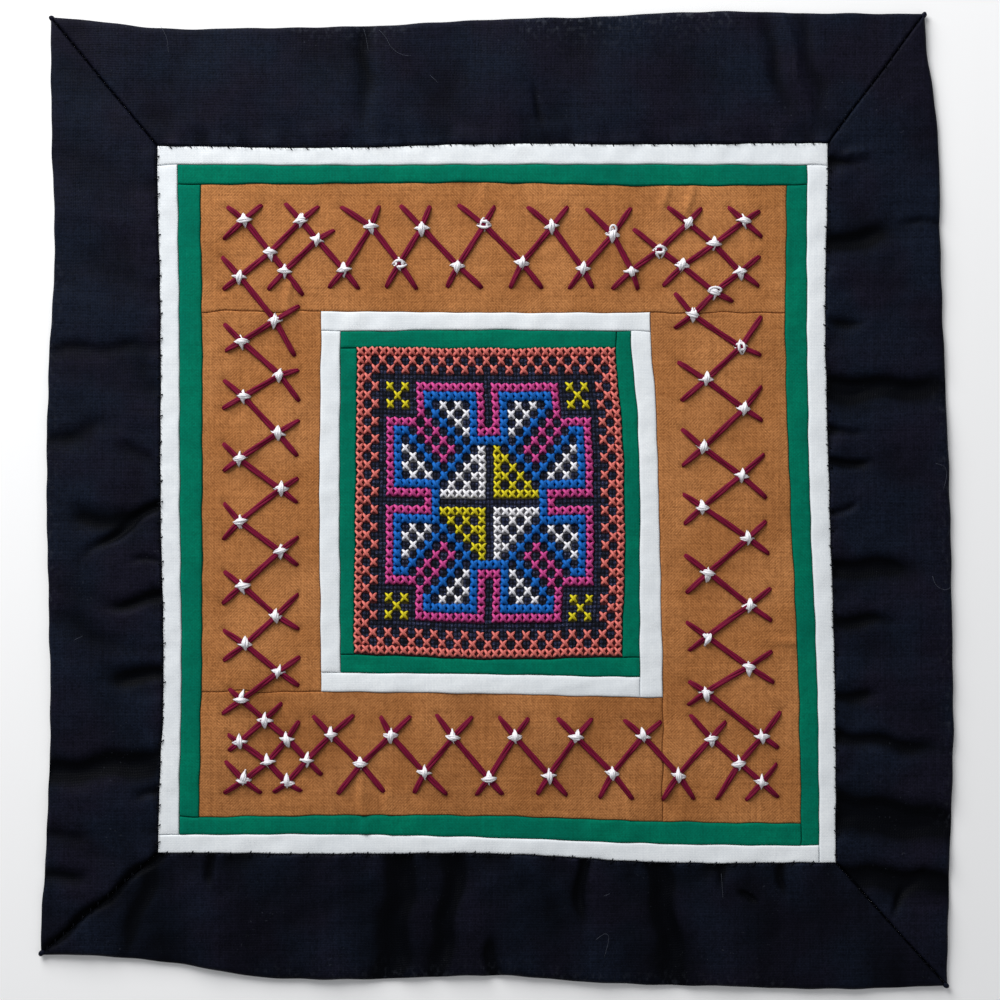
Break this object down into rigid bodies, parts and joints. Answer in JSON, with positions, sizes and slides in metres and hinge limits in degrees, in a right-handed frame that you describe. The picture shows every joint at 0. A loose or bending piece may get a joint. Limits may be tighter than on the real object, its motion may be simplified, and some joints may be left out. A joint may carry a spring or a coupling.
{
  "type": "hmong flower cloth panel",
  "caption": "Square pieced and embroidered flower cloth panel lying flat: cross-stitched centre, nested strip frames, herringbone band and mitred border.",
  "frame": {"origin": "middle of the panel's footprint, on the surface that it lies on", "axes": "+X to the right across the face, +Y up the face, +Z out of the embroidered face"},
  "size_m": [0.2126, 0.2277, 0.0024],
  "materials": {
    "navy_ground": "coarse navy even-weave cotton, matt",
    "green_cloth": "deep green plain-weave cotton blend, matt",
    "white_cloth": "bright white plain-weave cotton blend, matt",
    "tan_cloth": "ochre tan plain-weave cotton blend, matt",
    "black_cloth": "black plain-weave cotton, matt, slightly dusty",
    "wine_thread": "wine stranded cotton thread, soft lustre",
    "white_thread": "white stranded cotton thread, soft lustre",
    "coral_thread": "coral stranded cotton thread, soft lustre",
    "pink_thread": "pink stranded cotton thread, soft lustre",
    "blue_thread": "blue stranded cotton thread, soft lustre",
    "yellow_thread": "yellow stranded cotton thread, soft lustre",
    "black_thread": "black sewing thread, matt",
    "lint": "pale lint hairs caught on the border cloth"
  },
  "bodies": {
    "root": {"centre_panel": "navy_ground", "inner_green_top": "green_cloth", "inner_green_right": "green_cloth", "inner_green_bottom": "green_cloth", "inner_green_left": "green_cloth", "inner_white_top": "white_cloth", "inner_white_right": "white_cloth", "inner_white_bottom": "white_cloth", "inner_white_left": "white_cloth", "tan_top": "tan_cloth", "tan_right": "tan_cloth", "tan_bottom": "tan_cloth", "tan_left": "tan_cloth", "outer_green_top": "green_cloth", "outer_green_right": "green_cloth", "outer_green_bottom": "green_cloth", "outer_green_left": "green_cloth", "outer_white_top": "white_cloth", "outer_white_right": "white_cloth", "outer_white_bottom": "white_cloth", "outer_white_left": "white_cloth", "border_top": "black_cloth", "border_right": "black_cloth", "border_bottom": "black_cloth", "border_left": "black_cloth"}
  },
  "joints": []
}
